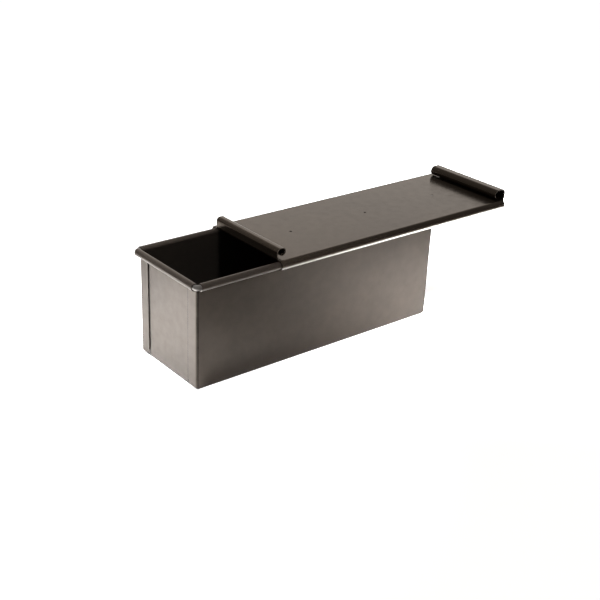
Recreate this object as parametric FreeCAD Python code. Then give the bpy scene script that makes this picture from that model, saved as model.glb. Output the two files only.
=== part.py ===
import FreeCAD, Part
import math
import os

# A lidded loaf pan (pain-de-mie or Pullman pan) folded from thin steel sheet.
# Frame: millimetres, +Z up, +X along the pan towards the end with the lid's large roll.
# Origin: centre of the underside of the base. The lid stands partly slid open.

# Driving dimensions of the pan
RIM_LENGTH = 280.0  # over the rolled rim, along X
RIM_WIDTH = 100.0  # over the rolled rim, along Y
HEIGHT = 100.0  # underside of the base to the top of the rim
SHEET = 0.8  # thickness of every sheet
FOLD_INSIDE = 1.2  # inside radius of the folds of the pan
WIRE_RADIUS = 2.5  # one wire runs round the whole rim, inside the rolls
WIRE_PLAY = 0.1  # between the wire and the rolls around it
WIRE_BEND = 3.0  # corners of the wire, to its centre line
WIRE_BUTT = 0.6  # between the wire's two ends, in the middle of the back roll
SIDE_ROLL_TURN = 310.0  # degrees that the long walls roll round the wire
END_ROLL_TURN = 300.0  # degrees on the ends, which also close over the tabs
SEAM_GAP = 0.1  # between the end panels and the folds beside them
FOOT = 8.0  # length of the end panels' feet on the base

# Tabs of the long walls, lapped round the outside of the end panels
TAB_WIDTH = 12.8  # from the long wall's outer face
TAB_BOTTOM = 2.2
TAB_TOP = 94.6
TAB_CLIP = 4.8  # cut off the lower inner corner

# Driving dimensions of the lid, which has a small curl at -X and a large roll to pull at +X
LID_LENGTH = 280.0  # of the channels
LID_OPEN = 87.5  # how far the lid stands from its closed place, along +X
LID_ASIDE = 1.0  # how far the loose lid lies off the pan's middle, along +Y
RUNNING_GAP = 0.3  # between the lid and the rim rolls it slides on
SIDE_PLAY = 1.4  # extra on each side, by which the lid fits loosely over the rim
CHANNEL_LIP = 15.0  # degrees that the channels reach past the bottom of the roll
FLAP_HALF_WIDTH = 45.0  # the rolled ends of the lid
FLAP_HEIGHT = 10.5  # from the underside of the plate to the top of both rolls
FLAP_FOLD_INSIDE = 0.5  # inside radius of the fold at the foot of both rolls
CURL_OVERHANG = 0.3  # the small curl stands this far past the channels
CURL_RADIUS = 3.65  # outside radius of the small closed curl
CURL_FLAT = 2.0  # straight top of the small curl
CURL_TURN = 310.0
GRIP_OVERHANG = 7.0  # the large roll stands this far past the channels
GRIP_RADIUS = 4.7  # outside radius of the large roll's shoulders
GRIP_FLAT = 5.0  # straight top between them
GRIP_TURN = 262.0
GUSSET = 5.5  # the plate's corners past the channels, cut at an angle
VENT_RADIUS = 1.25
VENT_PITCH = 90.0

# Worked out from the dimensions above
HALF = SHEET / 2
ROLL_RADIUS = WIRE_RADIUS + WIRE_PLAY + SHEET
ROLL_Z = HEIGHT - ROLL_RADIUS
INSIDE_X = RIM_LENGTH / 2 - 2 * ROLL_RADIUS
INSIDE_Y = RIM_WIDTH / 2 - 2 * ROLL_RADIUS
OUTSIDE_Y = INSIDE_Y + SHEET
PANEL_OUTSIDE_X = INSIDE_X + SHEET
FOLD_MID = FOLD_INSIDE + HALF
SIDES_END_X = PANEL_OUTSIDE_X - FOLD_INSIDE
PANEL_HALF_WIDTH = INSIDE_Y - FOLD_INSIDE - SEAM_GAP
ROLL_CENTRE_X = INSIDE_X + ROLL_RADIUS
ROLL_CENTRE_Y = INSIDE_Y + ROLL_RADIUS
PLATE_UNDER = HEIGHT + RUNNING_GAP
PLATE_MID = PLATE_UNDER + HALF
ROLLS_TOP = PLATE_UNDER + FLAP_HEIGHT


class Strip:
    """The section of a bent sheet, traced along the middle of its thickness."""

    def __init__(self, start, heading):
        self.point = start
        self.heading = math.radians(heading)
        self.left = []
        self.right = []

    def beside(self, offset):
        """The point to the left of the middle line, by offset."""
        across = self.heading + math.pi / 2
        a, b = self.point
        return (a + offset * math.cos(across), b + offset * math.sin(across))

    def run(self, length):
        """A straight stretch."""
        before = self.beside(HALF), self.beside(-HALF)
        a, b = self.point
        self.point = (a + length * math.cos(self.heading), b + length * math.sin(self.heading))
        self.left.append((before[0], self.beside(HALF)))
        self.right.append((before[1], self.beside(-HALF)))
        return self

    def bend(self, radius, degrees):
        """An arc whose middle line has this radius. Positive degrees turn left."""
        turn = math.radians(degrees)
        centre = self.beside(math.copysign(radius, turn))
        start = self.heading - math.copysign(math.pi / 2, turn)
        corners = {1: [], -1: []}
        for share in (0.0, 0.5, 1.0):
            angle = start + share * turn
            for side in corners:
                reach = radius - side * math.copysign(HALF, turn)
                corners[side].append(
                    (centre[0] + reach * math.cos(angle), centre[1] + reach * math.sin(angle))
                )
        self.left.append(tuple(corners[1]))
        self.right.append(tuple(corners[-1]))
        end = start + turn
        self.point = (centre[0] + radius * math.cos(end), centre[1] + radius * math.sin(end))
        self.heading += turn
        return self

    def solid(self, place, along):
        """The sheet itself: place(a, b) puts a section point in space, along is the extrusion."""
        caps = [
            (self.left[0][0], self.right[0][0]),
            (self.left[-1][-1], self.right[-1][-1]),
        ]
        edges = []
        for points in self.left + self.right + caps:
            at = [place(*p) for p in points]
            curve = Part.LineSegment(*at) if len(at) == 2 else Part.Arc(*at)
            edges.append(curve.toShape())
        outline = Part.Wire(Part.__sortEdges__(edges))
        return Part.Face(outline).extrude(along)


def box(low, high):
    size = [h - l for l, h in zip(low, high)]
    return Part.makeBox(*size, FreeCAD.Vector(*low))


def mirrored(shape, normal):
    return shape.mirror(FreeCAD.Vector(0, 0, 0), FreeCAD.Vector(*normal))


def fused(shapes):
    """One clean solid from shapes that touch or overlap."""
    whole = shapes[0].multiFuse(shapes[1:]).removeSplitter()
    return whole.Solids[0]


def rod(radius, start, end):
    """A straight round bar between two points."""
    axis = FreeCAD.Vector(*end) - FreeCAD.Vector(*start)
    return Part.makeCylinder(radius, axis.Length, FreeCAD.Vector(*start), axis)


def side_half():
    """Half of the base, the back wall and its roll, on the +Y side."""
    strip = Strip((0, HALF), 0)
    strip.run(INSIDE_Y + HALF - FOLD_MID)
    strip.bend(FOLD_MID, 90)
    strip.run(ROLL_Z - HALF - FOLD_MID)
    strip.bend(ROLL_RADIUS - HALF, -SIDE_ROLL_TURN)
    return strip.solid(
        lambda a, b: FreeCAD.Vector(-SIDES_END_X, a, b),
        FreeCAD.Vector(2 * SIDES_END_X, 0, 0),
    )


def corner_tab():
    """The fold and tab at the +X end of the +Y wall, seen from above as a bent strip."""
    strip = Strip((SIDES_END_X, INSIDE_Y + HALF), 0)
    strip.bend(FOLD_MID, -90)
    strip.run(TAB_WIDTH - SHEET - FOLD_INSIDE)
    tab = strip.solid(
        lambda a, b: FreeCAD.Vector(a, b, TAB_BOTTOM),
        FreeCAD.Vector(0, 0, TAB_TOP - TAB_BOTTOM),
    )
    edge_y = OUTSIDE_Y - TAB_WIDTH
    clip = Part.makePolygon(
        [
            FreeCAD.Vector(INSIDE_X, edge_y, TAB_BOTTOM),
            FreeCAD.Vector(INSIDE_X, edge_y + TAB_CLIP, TAB_BOTTOM),
            FreeCAD.Vector(INSIDE_X, edge_y, TAB_BOTTOM + TAB_CLIP),
            FreeCAD.Vector(INSIDE_X, edge_y, TAB_BOTTOM),
        ]
    )
    return tab.cut(Part.Face(clip).extrude(FreeCAD.Vector(RIM_LENGTH / 2 - INSIDE_X, 0, 0)))


def base_and_sides():
    """One sheet: the base, both long walls with their rolls, and four corner tabs."""
    half = side_half()
    right_tab = corner_tab()
    back = fused([half, right_tab, mirrored(right_tab, (1, 0, 0))])
    return fused([back, mirrored(back, (0, 1, 0))])


def end_section():
    """The +X end in section: foot on the base, wall, and the roll round the wire."""
    strip = Strip((INSIDE_X - FOOT, SHEET + HALF), 0)
    strip.run(FOOT + HALF - FOLD_MID)
    strip.bend(FOLD_MID, 90)
    strip.run(ROLL_Z - SHEET - HALF - FOLD_MID)
    strip.bend(ROLL_RADIUS - HALF, -END_ROLL_TURN)
    return strip


def end_panel():
    """The right end. Its roll runs on past the panel, above the corner folds."""
    panel = end_section().solid(
        lambda a, b: FreeCAD.Vector(a, -PANEL_HALF_WIDTH, b),
        FreeCAD.Vector(0, 2 * PANEL_HALF_WIDTH, 0),
    )
    long_section = end_section().solid(
        lambda a, b: FreeCAD.Vector(a, -OUTSIDE_Y, b),
        FreeCAD.Vector(0, 2 * OUTSIDE_Y, 0),
    )
    outside_panel = box(
        (PANEL_OUTSIDE_X + SEAM_GAP, -OUTSIDE_Y, ROLL_Z - 2 * ROLL_RADIUS),
        (RIM_LENGTH / 2 + SHEET, OUTSIDE_Y, HEIGHT + SHEET),
    )
    return fused([panel, long_section.common(outside_panel)])


def lid_channel():
    """The +Y edge of the lid, rolled down round the back rim roll."""
    channel_mid = ROLL_RADIUS + RUNNING_GAP + HALF
    strip = Strip((FLAP_HALF_WIDTH, PLATE_MID), 0)
    strip.run(ROLL_CENTRE_Y + SIDE_PLAY - FLAP_HALF_WIDTH)
    strip.bend(channel_mid, -180 - CHANNEL_LIP)
    return strip.solid(
        lambda a, b: FreeCAD.Vector(-LID_LENGTH / 2, a, b),
        FreeCAD.Vector(LID_LENGTH, 0, 0),
    )


def across_lid(strip):
    """A section along the lid, made as wide as its rolled ends."""
    return strip.solid(
        lambda a, b: FreeCAD.Vector(a, -FLAP_HALF_WIDTH, b),
        FreeCAD.Vector(0, 2 * FLAP_HALF_WIDTH, 0),
    )


def curl_half():
    """The plate's -X half, ending in the small closed curl."""
    fold_mid = FLAP_FOLD_INSIDE + HALF
    wall = LID_LENGTH / 2 + CURL_OVERHANG - HALF
    strip = Strip((0, PLATE_MID), 180)
    strip.run(wall - fold_mid)
    strip.bend(fold_mid, -90)
    strip.run(ROLLS_TOP - CURL_RADIUS - PLATE_MID - fold_mid)
    strip.bend(CURL_RADIUS - HALF, -90)
    strip.run(CURL_FLAT)
    strip.bend(CURL_RADIUS - HALF, 90 - CURL_TURN)
    return across_lid(strip)


def grip_half():
    """The plate's +X half, ending in the large roll that the lid is pulled by."""
    fold_mid = FLAP_FOLD_INSIDE + HALF
    wall = LID_LENGTH / 2 + GRIP_OVERHANG - HALF
    strip = Strip((0, PLATE_MID), 0)
    strip.run(wall - fold_mid)
    strip.bend(fold_mid, 90)
    strip.run(ROLLS_TOP - GRIP_RADIUS - PLATE_MID - fold_mid)
    strip.bend(GRIP_RADIUS - HALF, 90)
    strip.run(GRIP_FLAT)
    strip.bend(GRIP_RADIUS - HALF, GRIP_TURN - 90)
    return across_lid(strip)


def gusset():
    """The plate's +X +Y corner, which narrows from the channel to the large roll."""
    x = LID_LENGTH / 2
    corners = [
        FreeCAD.Vector(x, FLAP_HALF_WIDTH, PLATE_UNDER),
        FreeCAD.Vector(x + GUSSET, FLAP_HALF_WIDTH, PLATE_UNDER),
        FreeCAD.Vector(x, FLAP_HALF_WIDTH + GUSSET, PLATE_UNDER),
    ]
    outline = Part.makePolygon(corners + corners[:1])
    return Part.Face(outline).extrude(FreeCAD.Vector(0, 0, SHEET))


def sliding_lid():
    """One sheet: plate, two channels, a small curl and a large roll, with three vent holes."""
    channel = lid_channel()
    corner = gusset()
    edges = [channel, corner, mirrored(channel, (0, 1, 0)), mirrored(corner, (0, 1, 0))]
    lid = fused([curl_half(), grip_half()] + edges)
    for step in (-1, 0, 1):
        x = step * VENT_PITCH
        lid = lid.cut(rod(VENT_RADIUS, (x, 0, HEIGHT), (x, 0, ROLLS_TOP)))
    lid.translate(FreeCAD.Vector(LID_OPEN, LID_ASIDE, 0))
    return lid.Solids[0]


def wire_corner(y_side):
    """The bend of the wire at the +X end, on the +Y or -Y side."""
    centre = FreeCAD.Vector(
        ROLL_CENTRE_X - WIRE_BEND, y_side * (ROLL_CENTRE_Y - WIRE_BEND), ROLL_Z
    )
    start = centre + FreeCAD.Vector(WIRE_BEND, 0, 0)
    end_face = Part.Face(Part.Wire(Part.makeCircle(WIRE_RADIUS, start, FreeCAD.Vector(0, 1, 0))))
    return end_face.revolve(centre, FreeCAD.Vector(0, 0, y_side), 90)


def rim_wire():
    """One wire bent to a ring, its two ends butted in the middle of the back roll."""
    long_end = ROLL_CENTRE_X - WIRE_BEND
    short_end = ROLL_CENTRE_Y - WIRE_BEND
    right = [
        rod(WIRE_RADIUS, (WIRE_BUTT / 2, ROLL_CENTRE_Y, ROLL_Z), (long_end, ROLL_CENTRE_Y, ROLL_Z)),
        wire_corner(1),
        rod(WIRE_RADIUS, (ROLL_CENTRE_X, -short_end, ROLL_Z), (ROLL_CENTRE_X, short_end, ROLL_Z)),
        wire_corner(-1),
        rod(WIRE_RADIUS, (0, -ROLL_CENTRE_Y, ROLL_Z), (long_end, -ROLL_CENTRE_Y, ROLL_Z)),
    ]
    return fused(right + [mirrored(piece, (1, 0, 0)) for piece in right])


right_panel = end_panel()
NODES = {
    "base_and_sides": base_and_sides(),
    "right_end_panel": right_panel,
    "left_end_panel": mirrored(right_panel, (1, 0, 0)),
    "rim_wire": rim_wire(),
    "sliding_lid": sliding_lid(),
}

os.makedirs("parts", exist_ok=True)
for name, shape in NODES.items():
    shape.exportStep("parts/" + name + ".step")
    size = shape.BoundBox
    print(
        name, "solids", len(shape.Solids), "valid", shape.isValid(), "volume", round(shape.Volume, 1),
        "x", round(size.XMin, 2), round(size.XMax, 2), "y", round(size.YMin, 2), round(size.YMax, 2),
        "z", round(size.ZMin, 2), round(size.ZMax, 2),
    )
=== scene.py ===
import math

import bpy
from mathutils import Matrix, Vector


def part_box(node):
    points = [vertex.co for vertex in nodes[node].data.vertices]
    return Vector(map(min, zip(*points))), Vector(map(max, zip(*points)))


# A lidded loaf pan in dark blued steel, on a plain pale floor. Metres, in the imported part's frame.

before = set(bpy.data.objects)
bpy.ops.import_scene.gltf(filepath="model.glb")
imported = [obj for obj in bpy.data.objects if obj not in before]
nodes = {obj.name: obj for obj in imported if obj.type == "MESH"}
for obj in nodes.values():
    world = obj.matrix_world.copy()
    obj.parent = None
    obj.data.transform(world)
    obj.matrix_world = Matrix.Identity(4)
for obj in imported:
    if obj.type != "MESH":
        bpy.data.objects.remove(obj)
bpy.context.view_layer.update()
MM = 0.001

# Camera: the direction it stands in and its roll in degrees, how far off it stands, and how far
# it is moved to its right and up from the line through the pan's origin. Lens and sensor are in
# millimetres, and the reach is how far it sees.
CAMERA_AZIMUTH = -39.75
CAMERA_ELEVATION = 25.26
CAMERA_ROLL = 2.54
CAMERA_DISTANCE = 1.03052
CAMERA_RIGHT = 0.00856
CAMERA_UP = 0.02945
CAMERA_LENS = 65.4
CAMERA_SENSOR = 36.0
CAMERA_REACH = 100.0

# Sizes and places on the part that the materials follow
SHEET = 0.8 * MM
ROLL_RADIUS = 3.4 * MM  # of the rim
CHANNEL_RADIUS = 4.5 * MM  # of the lid's channels, round the rim
FOLD_RADIUS = 2.0 * MM  # outside of the upright folds at the corners
TAB_WIDTH = 12.8 * MM
PAN_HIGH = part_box("base_and_sides")[1]
ROLL_HEIGHT = PAN_HIGH.z - ROLL_RADIUS  # the rim rolls' centre line
WALL_TOP = ROLL_HEIGHT - ROLL_RADIUS  # where the walls meet the rolls
TAB_FACE = PAN_HIGH.x
PANEL_FACE = TAB_FACE - SHEET
WALL_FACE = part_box("right_end_panel")[1].y
TAB_EDGE = WALL_FACE - TAB_WIDTH

# Edges: smooth shading below the first angle, a rounding on every edge, and wear within reach of it
SMOOTH_BELOW = math.radians(35)
EDGE_ROUNDING = 0.3 * MM
WEAR_REACH = 0.6 * MM
WEAR_STARTS = 0.995  # cosines between the true and the rounded normal
WEAR_IS_FULL = 0.86
BEVEL_SAMPLES = 4

# Noise in the steel: cycles to the metre, detail, roughness. Most of its values lie between 0.3
# and 0.7, which is the range that the colours and marks use unless they say another.
CLOUD = (14.0, 5.0, 0.55)
MOTTLE = (120.0, 6.0, 0.6)
GRAIN = (1500.0, 3.0, 0.55)
NOISE_RANGE = (0.3, 0.7)

# Unevenness of the sheet, from the noise: strength and height
CLOUD_BUMP = (0.06, 0.6 * MM)
GRAIN_BUMP = (0.015, 0.05 * MM)

# The steels' colours
PAN_OXIDE = ((0.082, 0.069, 0.059), (0.094, 0.077, 0.064))
LID_OXIDE = ((0.076, 0.060, 0.046), (0.086, 0.067, 0.050))
WIRE_OXIDE = ((0.20, 0.19, 0.18), (0.23, 0.215, 0.20))
WORN_SHEET = (0.22, 0.20, 0.18)
WORN_WIRE = (0.36, 0.34, 0.32)
# Polished steel on the lid's channels, made far brighter than wear alone as a painted highlight
LID_POLISH_AND_HIGHLIGHT = (0.75, 0.72, 0.68)
# Polished steel on the long rim rolls, brightened as a painted highlight as well as wear
RIM_POLISH_AND_HIGHLIGHT = (0.26, 0.24, 0.22)
# Painted shade: the colour of the dark lines at the tabs' free edges and along the corner folds
PAINTED_SHADE_COLOUR = (0.012, 0.010, 0.008)
METALLIC = 0.82
DARKER = 0.72  # the mottle's dark patches, as a share of the oxide's colour
SMOOTHER = 0.05  # the roughness varies by this much down and up
ROUGHER = 0.06

# Patches, as the mottle makes them: its range, and the shares of a colour that this gives
DARK_PATCHES = (0.35, 0.75, 0.0, 0.25)
RUB_AND_HIGHLIGHT_PATCHES = (0.3, 0.6, 0.75, 1.0)
SEAM_SHADE_PATCHES = (*NOISE_RANGE, 0.55, 0.9)
FOLD_SHADE_PATCHES = (*NOISE_RANGE, 0.5, 0.85)
WEAR_RANGE = (0.4, 0.6)
LEAST_WEAR = 0.25  # of the full share

# Where the lid's sliding rubs the long rolls and channels bright, with a painted highlight laid over the
# rubbing: it starts at the roll's centre line and just below it, and is full this far outwards and
# downwards
RUB_AND_HIGHLIGHT_TOP = ROLL_HEIGHT - 0.3 * MM
RUB_AND_HIGHLIGHT_OUTWARDS = 1.0 * MM
RUB_AND_HIGHLIGHT_DOWNWARDS = 1.5 * MM

# The painted shade at the tabs' free edges: a dark line, mostly on the end panels beside them
SEAM_SHADE_HALF_WIDTH = 1.0 * MM
SEAM_SHADE_ON_TAB = 0.3 * MM
SEAM_SHADE_DEPTH = 0.2 * MM  # allowed below the panel's face

# The painted shade along the corner folds: a dark line on the long walls' side
FOLD_SHADE_FROM_X = TAB_FACE - 1.15 * FOLD_RADIUS
FOLD_SHADE_FROM_Y = WALL_FACE - 0.4 * FOLD_RADIUS

# The floor and the backdrop, which glow only as the camera sees them
FLOOR_SIZE = 40.0
FLOOR_COLOUR = (0.85, 0.85, 0.85)
FLOOR_ROUGHNESS = 0.8
FLOOR_GLOW = 0.80
BACKDROP_GLOW = 1.2

# The room as the steel mirrors it: dim all round, with a bright band low down behind the pan
ROOM_TINT = (1.0, 0.94, 0.88)
ROOM_DIM = 0.20
ROOM_BAND = 0.84
BAND_TOWARDS = Vector((0.64, 0.77, 0.0))
BAND_TOP = (0.50, 0.70)  # a direction's Z where the band starts to fade, and where it is gone
BAND_SIDES = (0.55, 0.85)  # a direction's cosine to the band's where it starts, and where it is full

# The lamps are spots with this radius
LAMP_RADIUS = 0.15


def node_tree(name):
    """A new material with an empty node tree, its shader and its output."""
    material = bpy.data.materials.new(name)
    material.use_nodes = True
    tree = material.node_tree
    tree.nodes.clear()
    output = tree.nodes.new("ShaderNodeOutputMaterial")
    shader = tree.nodes.new("ShaderNodeBsdfPrincipled")
    tree.links.new(shader.outputs["BSDF"], output.inputs["Surface"])
    return material, tree, shader


def noise(tree, place, scale, detail, roughness):
    """A noise texture's value."""
    texture = tree.nodes.new("ShaderNodeTexNoise")
    texture.inputs["Scale"].default_value = scale
    texture.inputs["Detail"].default_value = detail
    texture.inputs["Roughness"].default_value = roughness
    tree.links.new(place, texture.inputs["Vector"])
    return texture.outputs["Fac"]


def ramp(tree, value, first, second):
    """A colour that goes from the first to the second with a noise's value."""
    node = tree.nodes.new("ShaderNodeValToRGB")
    for element, position, colour in zip(node.color_ramp.elements, NOISE_RANGE, (first, second)):
        element.position = position
        element.color = (*colour, 1.0)
    tree.links.new(value, node.inputs["Fac"])
    return node.outputs["Color"]


def spread(tree, value, low, high, to_low, to_high):
    """Maps a value's range low..high onto to_low..to_high."""
    node = tree.nodes.new("ShaderNodeMapRange")
    for socket, number in zip(("From Min", "From Max", "To Min", "To Max"), (low, high, to_low, to_high)):
        node.inputs[socket].default_value = number
    tree.links.new(value, node.inputs["Value"])
    return node.outputs["Result"]


def mix(tree, share, first, second):
    """Two colours mixed by a share. Each colour is a tuple or a socket."""
    node = tree.nodes.new("ShaderNodeMix")
    node.data_type = "RGBA"
    tree.links.new(share, node.inputs["Factor"])
    for socket, colour in zip([s for s in node.inputs if s.type == "RGBA"], (first, second)):
        if isinstance(colour, tuple):
            socket.default_value = (*colour, 1.0)
        else:
            tree.links.new(colour, socket)
    return next(s for s in node.outputs if s.type == "RGBA")


def math_node(tree, operation, *values):
    """A Math node's result. Each value is a number or a socket."""
    node = tree.nodes.new("ShaderNodeMath")
    node.operation = operation
    for socket, value in zip(node.inputs, values):
        if isinstance(value, float):
            socket.default_value = value
        else:
            tree.links.new(value, socket)
    return node.outputs["Value"]


def all_of(tree, first, *others):
    """The product of several shares."""
    for other in others:
        first = math_node(tree, "MULTIPLY", first, other)
    return first


def split(tree, place):
    """The X, Y and Z of a place or a direction."""
    parts = tree.nodes.new("ShaderNodeSeparateXYZ")
    tree.links.new(place, parts.inputs["Vector"])
    return parts.outputs["X"], parts.outputs["Y"], parts.outputs["Z"]


def dot(tree, first, second):
    """The dot product of a direction with another, which is a socket or a vector."""
    node = tree.nodes.new("ShaderNodeVectorMath")
    node.operation = "DOT_PRODUCT"
    tree.links.new(first, node.inputs[0])
    if isinstance(second, Vector):
        node.inputs[1].default_value = second
    else:
        tree.links.new(second, node.inputs[1])
    return node.outputs["Value"]


def camera_glow(tree, strength):
    """The strength for the camera's own rays, and none for the rays that light or mirror."""
    seen = tree.nodes.new("ShaderNodeLightPath").outputs["Is Camera Ray"]
    return spread(tree, seen, 0.0, 1.0, 0.0, strength)


def soft_edges(tree, radius):
    """The surface's normal with its edges rounded to this radius."""
    bevel = tree.nodes.new("ShaderNodeBevel")
    bevel.samples = BEVEL_SAMPLES
    bevel.inputs["Radius"].default_value = radius
    return bevel.outputs["Normal"]


def edge_wear(tree):
    """1 where the surface turns sharply and 0 on the flats."""
    normal = tree.nodes.new("ShaderNodeNewGeometry").outputs["Normal"]
    likeness = dot(tree, soft_edges(tree, WEAR_REACH), normal)
    return spread(tree, likeness, WEAR_STARTS, WEAR_IS_FULL, 0.0, 1.0)


def bump(tree, height, strength, distance, normal):
    """A normal made uneven by a height."""
    node = tree.nodes.new("ShaderNodeBump")
    node.inputs["Strength"].default_value = strength
    node.inputs["Distance"].default_value = distance
    tree.links.new(height, node.inputs["Height"])
    tree.links.new(normal, node.inputs["Normal"])
    return node.outputs["Normal"]


def rubbed_highlight_band(tree, place, mottle, node, radius):
    """1 on the outer lower side of a node's long rolls, where the lid's sliding rubs it bright and a
    painted highlight is laid.
    """
    low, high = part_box(node)
    y, z = split(tree, place)[1:]
    across = math_node(tree, "ABSOLUTE", math_node(tree, "SUBTRACT", y, (low.y + high.y) / 2))
    centre = (high.y - low.y) / 2 - radius
    outer = spread(tree, across, centre, centre + RUB_AND_HIGHLIGHT_OUTWARDS, 0.0, 1.0)
    lower = spread(tree, z, RUB_AND_HIGHLIGHT_TOP, RUB_AND_HIGHLIGHT_TOP - RUB_AND_HIGHLIGHT_DOWNWARDS, 0.0, 1.0)
    return all_of(tree, outer, lower, spread(tree, mottle, *RUB_AND_HIGHLIGHT_PATCHES))


def rim_rub_and_highlight(tree, place, mottle):
    """The long rim rolls' rubbed band, with its painted highlight."""
    return rubbed_highlight_band(tree, place, mottle, "base_and_sides", ROLL_RADIUS)


def channel_rub_and_highlight(tree, place, mottle):
    """The lid's channels' rubbed band, with its painted highlight."""
    return rubbed_highlight_band(tree, place, mottle, "sliding_lid", CHANNEL_RADIUS)


def seam_shade(tree, place, mottle):
    """1 in the step at the free edge of each corner tab, where a dark line of painted shade goes."""
    x, y, z = split(tree, place)
    middle = TAB_EDGE + SEAM_SHADE_ON_TAB - SEAM_SHADE_HALF_WIDTH
    at_edge = math_node(tree, "COMPARE", math_node(tree, "ABSOLUTE", y), middle, SEAM_SHADE_HALF_WIDTH)
    outside = math_node(tree, "GREATER_THAN", math_node(tree, "ABSOLUTE", x), PANEL_FACE - SEAM_SHADE_DEPTH)
    below_roll = math_node(tree, "LESS_THAN", z, WALL_TOP)
    return all_of(tree, at_edge, outside, below_roll, spread(tree, mottle, *SEAM_SHADE_PATCHES))


def fold_shade_line(tree, place, mottle):
    """1 along the long wall's side of each upright corner fold, where a dark line of painted shade goes.
    """
    x, y, z = split(tree, place)
    beyond_wall = math_node(tree, "GREATER_THAN", math_node(tree, "ABSOLUTE", x), FOLD_SHADE_FROM_X)
    outside = math_node(tree, "GREATER_THAN", math_node(tree, "ABSOLUTE", y), FOLD_SHADE_FROM_Y)
    below_roll = math_node(tree, "LESS_THAN", z, WALL_TOP)
    return all_of(tree, beyond_wall, outside, below_roll, spread(tree, mottle, *FOLD_SHADE_PATCHES))


def steel(name, oxide, worn, rough, bare_share, marks=()):
    """Blued steel: mottled oxide, bare worn edges, a faint unevenness, and (share, colour) marks."""
    material, tree, shader = node_tree(name)
    place = tree.nodes.new("ShaderNodeTexCoord").outputs["Object"]
    cloud = noise(tree, place, *CLOUD)
    mottle = noise(tree, place, *MOTTLE)
    grain = noise(tree, place, *GRAIN)
    dark = tuple(DARKER * channel for channel in oxide[0])
    colour = mix(tree, spread(tree, mottle, *DARK_PATCHES), ramp(tree, cloud, *oxide), dark)
    bared = spread(tree, mottle, *WEAR_RANGE, LEAST_WEAR * bare_share, bare_share)
    colour = mix(tree, all_of(tree, edge_wear(tree), bared), colour, worn)
    for share, mark_colour in marks:
        colour = mix(tree, share(tree, place, mottle), colour, mark_colour)
    roughness = spread(tree, mottle, *NOISE_RANGE, rough - SMOOTHER, rough + ROUGHER)
    normal = bump(tree, cloud, *CLOUD_BUMP, soft_edges(tree, EDGE_ROUNDING))
    normal = bump(tree, grain, *GRAIN_BUMP, normal)
    shader.inputs["Metallic"].default_value = METALLIC
    tree.links.new(colour, shader.inputs["Base Color"])
    tree.links.new(roughness, shader.inputs["Roughness"])
    tree.links.new(normal, shader.inputs["Normal"])
    return material


def dress(node, material):
    """Puts the CAD node in its material, under the record's slot, and shades its rolls smooth."""
    piece = nodes[node]
    piece.data.materials.clear()
    piece.data.materials.append(material)
    piece.data.polygons.foreach_set("use_smooth", [True] * len(piece.data.polygons))
    piece.data.set_sharp_from_angle(angle=SMOOTH_BELOW)


def floor():
    """A plain pale table, level with the pan's underside."""
    half = FLOOR_SIZE / 2
    corners = [(-half, -half, 0), (half, -half, 0), (half, half, 0), (-half, half, 0)]
    mesh = bpy.data.meshes.new("floor")
    mesh.from_pydata(corners, [], [(0, 1, 2, 3)])
    piece = bpy.data.objects.new("floor", mesh)
    bpy.context.scene.collection.objects.link(piece)
    material, tree, shader = node_tree("floor")
    shader.inputs["Base Color"].default_value = (*FLOOR_COLOUR, 1.0)
    shader.inputs["Roughness"].default_value = FLOOR_ROUGHNESS
    shader.inputs["Emission Color"].default_value = (1.0, 1.0, 1.0, 1.0)
    tree.links.new(camera_glow(tree, FLOOR_GLOW), shader.inputs["Emission Strength"])
    mesh.materials.append(material)
    return piece


def room():
    """The dim room and its bright band."""
    world = bpy.data.worlds.new("studio")
    bpy.context.scene.world = world
    world.use_nodes = True
    tree = world.node_tree
    tree.nodes.clear()
    output = tree.nodes.new("ShaderNodeOutputWorld")
    background = tree.nodes.new("ShaderNodeBackground")
    tree.links.new(background.outputs["Background"], output.inputs["Surface"])
    direction = tree.nodes.new("ShaderNodeTexCoord").outputs["Generated"]
    low_down = spread(tree, split(tree, direction)[2], *BAND_TOP, ROOM_BAND, 0.0)
    behind = spread(tree, dot(tree, direction, BAND_TOWARDS), *BAND_SIDES, 0.0, 1.0)
    lit = math_node(tree, "ADD", all_of(tree, low_down, behind), ROOM_DIM)
    strength = math_node(tree, "ADD", lit, camera_glow(tree, BACKDROP_GLOW))
    background.inputs["Color"].default_value = (*ROOM_TINT, 1.0)
    tree.links.new(strength, background.inputs["Strength"])


def pool(name, place, aim, cone, power):
    """A lamp that throws a soft-edged pool of light. The steel mirrors the pool and not the lamp."""
    lamp = bpy.data.lights.new(name, "SPOT")
    lamp.spot_size = math.radians(cone)
    lamp.spot_blend = 1.0
    lamp.shadow_soft_size = LAMP_RADIUS
    lamp.energy = power
    piece = bpy.data.objects.new(name, lamp)
    piece.location = place
    piece.rotation_mode = "QUATERNION"
    piece.rotation_quaternion = (Vector(aim) - Vector(place)).to_track_quat("-Z", "Y")
    piece.visible_camera = False
    piece.visible_glossy = False
    bpy.context.scene.collection.objects.link(piece)
    return piece


def light_only(lamp, piece):
    """Keeps a lamp's light to one piece of the stage."""
    receivers = bpy.data.collections.new(lamp.name + "_receivers")
    receivers.objects.link(piece)
    lamp.light_linking.receiver_collection = receivers


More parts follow.
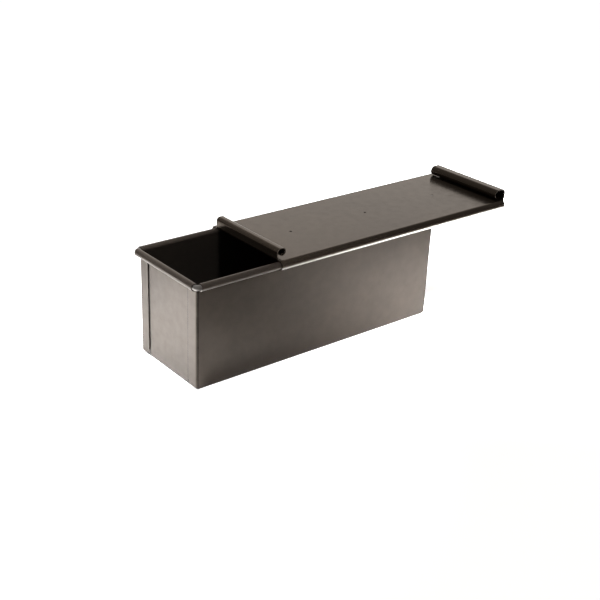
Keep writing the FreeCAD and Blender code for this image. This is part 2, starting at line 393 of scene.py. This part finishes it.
def camera():
    """The camera, at the photograph's viewing angle."""
    azimuth, elevation, roll = (math.radians(a) for a in (CAMERA_AZIMUTH, CAMERA_ELEVATION, CAMERA_ROLL))
    back = Vector(
        (
            math.sin(azimuth) * math.cos(elevation),
            -math.cos(azimuth) * math.cos(elevation),
            math.sin(elevation),
        )
    )
    level = Vector((0, 0, 1)).cross(back).normalized()
    rise = back.cross(level)
    right = math.cos(roll) * level + math.sin(roll) * rise
    up = math.cos(roll) * rise - math.sin(roll) * level
    data = bpy.data.cameras.new("camera")
    data.lens = CAMERA_LENS
    data.sensor_width = CAMERA_SENSOR
    data.clip_end = CAMERA_REACH
    piece = bpy.data.objects.new("camera", data)
    turn = Matrix((right, up, back)).transposed().to_4x4()
    place = back * CAMERA_DISTANCE + level * CAMERA_RIGHT + rise * CAMERA_UP
    piece.matrix_world = Matrix.Translation(place) @ turn
    bpy.context.scene.collection.objects.link(piece)
    bpy.context.scene.camera = piece


# The pan's marks: the rim rolls' rubbed band with its painted highlight, and dark lines of painted shade
# at the tab edges and along the corner folds.
pan_marks = [(rim_rub_and_highlight, RIM_POLISH_AND_HIGHLIGHT), (seam_shade, PAINTED_SHADE_COLOUR), (fold_shade_line, PAINTED_SHADE_COLOUR)]
pan_steel = steel("pan_steel", PAN_OXIDE, WORN_SHEET, rough=0.36, bare_share=0.5, marks=pan_marks)
# The lid's mark: the channels' rubbed band, brightened into a painted highlight.
lid_marks = [(channel_rub_and_highlight, LID_POLISH_AND_HIGHLIGHT)]
lid_steel = steel("lid_steel", LID_OXIDE, WORN_SHEET, rough=0.20, bare_share=0.5, marks=lid_marks)
wire_steel = steel("wire_steel", WIRE_OXIDE, WORN_WIRE, rough=0.32, bare_share=0.4)

for node in ("base_and_sides", "left_end_panel", "right_end_panel"):
    dress(node, pan_steel)
dress("rim_wire", wire_steel)
dress("sliding_lid", lid_steel)

table = floor()
room()
front = pool("right_front_spot", (0.34, -0.40, 1.2), (0.21, -0.04, 0), cone=14.0, power=590.0)
light_only(front, table)
pool("inside_spot", (-0.10, -0.60, 1.0), (-0.09, 0.03, 0.06), cone=7.0, power=280.0)
pool("left_back_pool", (-0.45, 0.30, 1.2), (-0.28, 0.06, 0), cone=24.0, power=380.0)
pool("right_back_pool", (0.60, 0.60, 1.2), (0.42, 0.28, 0), cone=40.0, power=150.0)
camera()
bpy.context.scene.view_settings.view_transform = "Standard"
